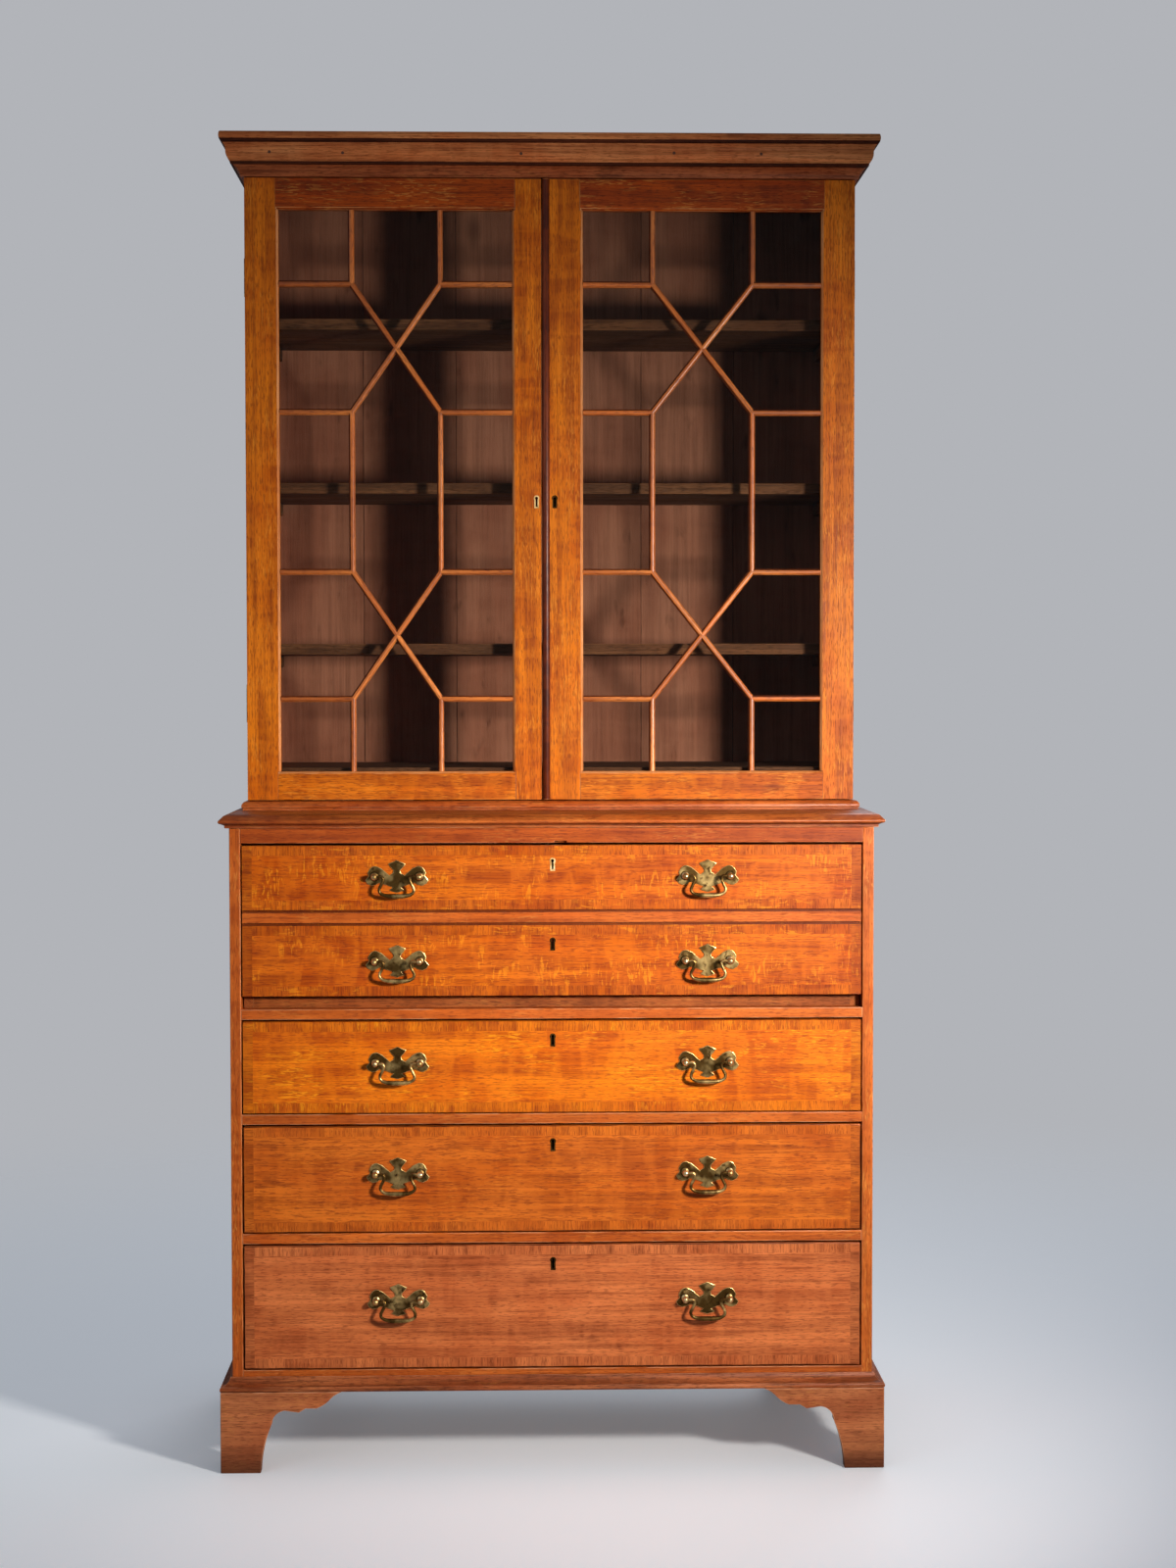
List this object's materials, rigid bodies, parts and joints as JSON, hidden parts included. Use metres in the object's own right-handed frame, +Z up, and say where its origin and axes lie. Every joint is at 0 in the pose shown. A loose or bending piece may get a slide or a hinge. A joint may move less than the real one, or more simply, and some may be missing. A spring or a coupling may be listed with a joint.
{
  "type": "bureau bookcase",
  "caption": "Oak bureau bookcase with a secretaire drawer behind a double dummy front, three long drawers, bracket feet and two thirteen-pane glazed doors",
  "frame": {"origin": "On the floor under the middle of the bookcase's whole outline", "axes": "+Z is up and +X is to the right as seen by a person who faces the doors; the front faces -Y"},
  "size_m": [1.096, 0.512, 2.1985],
  "materials": {
    "oak_carcase": "polished oak, worn",
    "oak_rails": "polished oak, worn",
    "cornice_oak": "polished oak, reddish",
    "door_oak": "polished quarter-sawn oak",
    "drawer_oak": "polished quarter-sawn oak with crossbanding",
    "lining_oak": "unpolished oak",
    "pine_boards": "stained pine",
    "window_glass": "clear old glass",
    "leather": "dark green writing leather",
    "lock_steel": "plain filed steel",
    "old_brass": "aged cast brass"
  },
  "bodies": {
    "carcase": {"lower_side_left": "oak_carcase", "lower_side_right": "oak_carcase", "lower_top": "oak_carcase", "lower_back_boards": "pine_boards", "drawer_rails": "oak_rails", "dust_boards": "lining_oak", "base_moulding": "oak_carcase", "bracket_feet": "oak_carcase", "waist_moulding": "oak_rails", "upper_side_left": "oak_carcase", "upper_side_right": "oak_carcase", "upper_top_and_bottom": "lining_oak", "upper_back_boards": "pine_boards", "cornice": "cornice_oak", "shelves": "lining_oak", "case_hinges": "old_brass"},
    "door_left": {"door_left_frame": "door_oak", "door_left_bars": "door_oak", "door_left_glass": "window_glass", "door_left_brasses": "old_brass"},
    "door_left_top_bolt": {"door_left_top_bolt": "old_brass"},
    "door_left_bottom_bolt": {"door_left_bottom_bolt": "old_brass"},
    "door_right": {"door_right_frame": "door_oak", "door_right_bars": "door_oak", "door_right_glass": "window_glass", "door_right_brasses": "old_brass"},
    "door_right_lock_bolt": {"door_right_lock_bolt": "lock_steel"},
    "secretaire": {"secretaire_tray": "lining_oak", "secretaire_hinges": "old_brass", "pigeonhole_case": "lining_oak"},
    "small_drawer_1": {"small_drawer_1": "lining_oak"},
    "small_drawer_2": {"small_drawer_2": "lining_oak"},
    "small_drawer_3": {"small_drawer_3": "lining_oak"},
    "fall": {"fall_panel": "drawer_oak", "fall_leather": "leather", "fall_brasses": "old_brass", "quadrant_stays": "old_brass"},
    "fall_lock_bolt": {"fall_lock_bolt": "lock_steel"},
    "fall_bail_upper_left": {"fall_bail_upper_left": "old_brass"},
    "fall_bail_upper_right": {"fall_bail_upper_right": "old_brass"},
    "fall_bail_lower_left": {"fall_bail_lower_left": "old_brass"},
    "fall_bail_lower_right": {"fall_bail_lower_right": "old_brass"},
    "bottom_drawer": {"bottom_drawer_front": "drawer_oak", "bottom_drawer_box": "lining_oak", "bottom_drawer_brasses": "old_brass"},
    "bottom_drawer_lock_bolt": {"bottom_drawer_lock_bolt": "lock_steel"},
    "bottom_drawer_bail_left": {"bottom_drawer_bail_left": "old_brass"},
    "bottom_drawer_bail_right": {"bottom_drawer_bail_right": "old_brass"},
    "middle_drawer": {"middle_drawer_front": "drawer_oak", "middle_drawer_box": "lining_oak", "middle_drawer_brasses": "old_brass"},
    "middle_drawer_lock_bolt": {"middle_drawer_lock_bolt": "lock_steel"},
    "middle_drawer_bail_left": {"middle_drawer_bail_left": "old_brass"},
    "middle_drawer_bail_right": {"middle_drawer_bail_right": "old_brass"},
    "upper_drawer": {"upper_drawer_front": "drawer_oak", "upper_drawer_box": "lining_oak", "upper_drawer_brasses": "old_brass"},
    "upper_drawer_lock_bolt": {"upper_drawer_lock_bolt": "lock_steel"},
    "upper_drawer_bail_left": {"upper_drawer_bail_left": "old_brass"},
    "upper_drawer_bail_right": {"upper_drawer_bail_right": "old_brass"}
  },
  "joints": [
    {"name": "secretaire_slide", "type": "slide", "parent": "carcase", "child": "secretaire", "axis": [0, -1, 0], "range_m": [0, 0.29]},
    {"name": "fall_hinge", "type": "hinge", "parent": "secretaire", "child": "fall", "pos_m": [0, -0.213, 0.779], "axis": [1, 0, 0], "range_deg": [0, 90]},
    {"name": "small_drawer_1_slide", "type": "slide", "parent": "secretaire", "child": "small_drawer_1", "axis": [0, -1, 0], "range_m": [0, 0.13]},
    {"name": "small_drawer_2_slide", "type": "slide", "parent": "secretaire", "child": "small_drawer_2", "axis": [0, -1, 0], "range_m": [0, 0.13]},
    {"name": "small_drawer_3_slide", "type": "slide", "parent": "secretaire", "child": "small_drawer_3", "axis": [0, -1, 0], "range_m": [0, 0.13]},
    {"name": "bottom_drawer_slide", "type": "slide", "parent": "carcase", "child": "bottom_drawer", "axis": [0, -1, 0], "range_m": [0, 0.4]},
    {"name": "middle_drawer_slide", "type": "slide", "parent": "carcase", "child": "middle_drawer", "axis": [0, -1, 0], "range_m": [0, 0.4]},
    {"name": "upper_drawer_slide", "type": "slide", "parent": "carcase", "child": "upper_drawer", "axis": [0, -1, 0], "range_m": [0, 0.4]},
    {"name": "door_left_hinge", "type": "hinge", "parent": "carcase", "child": "door_left", "pos_m": [-0.51008, -0.0615, 1.092], "axis": [0, 0, -1], "range_deg": [0, 175]},
    {"name": "door_right_hinge", "type": "hinge", "parent": "carcase", "child": "door_right", "pos_m": [0.51008, -0.0615, 1.092], "axis": [0, 0, 1], "range_deg": [0, 175]},
    {"name": "door_left_top_bolt_slide", "type": "slide", "parent": "door_left", "child": "door_left_top_bolt", "axis": [0, 0, 1], "range_m": [0, 0.008]},
    {"name": "door_left_bottom_bolt_slide", "type": "slide", "parent": "door_left", "child": "door_left_bottom_bolt", "axis": [0, 0, -1], "range_m": [0, 0.008]},
    {"name": "door_right_lock_bolt_slide", "type": "slide", "parent": "door_right", "child": "door_right_lock_bolt", "axis": [-1, 0, 0], "range_m": [0, 0.008]},
    {"name": "fall_lock_bolt_slide", "type": "slide", "parent": "fall", "child": "fall_lock_bolt", "axis": [0, 0, 1], "range_m": [0, 0.008]},
    {"name": "bottom_drawer_lock_bolt_slide", "type": "slide", "parent": "bottom_drawer", "child": "bottom_drawer_lock_bolt", "axis": [0, 0, 1], "range_m": [0, 0.008]},
    {"name": "middle_drawer_lock_bolt_slide", "type": "slide", "parent": "middle_drawer", "child": "middle_drawer_lock_bolt", "axis": [0, 0, 1], "range_m": [0, 0.008]},
    {"name": "upper_drawer_lock_bolt_slide", "type": "slide", "parent": "upper_drawer", "child": "upper_drawer_lock_bolt", "axis": [0, 0, 1], "range_m": [0, 0.008]},
    {"name": "fall_bail_upper_left_hinge", "type": "hinge", "parent": "fall", "child": "fall_bail_upper_left", "pos_m": [-0.253, -0.2505, 0.9745], "axis": [-1, 0, 0], "range_deg": [0, 115]},
    {"name": "fall_bail_upper_right_hinge", "type": "hinge", "parent": "fall", "child": "fall_bail_upper_right", "pos_m": [0.253, -0.2505, 0.9745], "axis": [-1, 0, 0], "range_deg": [0, 115]},
    {"name": "fall_bail_lower_left_hinge", "type": "hinge", "parent": "fall", "child": "fall_bail_lower_left", "pos_m": [-0.253, -0.2505, 0.8363], "axis": [-1, 0, 0], "range_deg": [0, 115]},
    {"name": "fall_bail_lower_right_hinge", "type": "hinge", "parent": "fall", "child": "fall_bail_lower_right", "pos_m": [0.253, -0.2505, 0.8363], "axis": [-1, 0, 0], "range_deg": [0, 115]},
    {"name": "bottom_drawer_bail_left_hinge", "type": "hinge", "parent": "bottom_drawer", "child": "bottom_drawer_bail_left", "pos_m": [-0.253, -0.2505, 0.28], "axis": [-1, 0, 0], "range_deg": [0, 115]},
    {"name": "bottom_drawer_bail_right_hinge", "type": "hinge", "parent": "bottom_drawer", "child": "bottom_drawer_bail_right", "pos_m": [0.253, -0.2505, 0.28], "axis": [-1, 0, 0], "range_deg": [0, 115]},
    {"name": "middle_drawer_bail_left_hinge", "type": "hinge", "parent": "middle_drawer", "child": "middle_drawer_bail_left", "pos_m": [-0.253, -0.2505, 0.4885], "axis": [-1, 0, 0], "range_deg": [0, 115]},
    {"name": "middle_drawer_bail_right_hinge", "type": "hinge", "parent": "middle_drawer", "child": "middle_drawer_bail_right", "pos_m": [0.253, -0.2505, 0.4885], "axis": [-1, 0, 0], "range_deg": [0, 115]},
    {"name": "upper_drawer_bail_left_hinge", "type": "hinge", "parent": "upper_drawer", "child": "upper_drawer_bail_left", "pos_m": [-0.253, -0.2505, 0.67], "axis": [-1, 0, 0], "range_deg": [0, 115]},
    {"name": "upper_drawer_bail_right_hinge", "type": "hinge", "parent": "upper_drawer", "child": "upper_drawer_bail_right", "pos_m": [0.253, -0.2505, 0.67], "axis": [-1, 0, 0], "range_deg": [0, 115]}
  ]
}
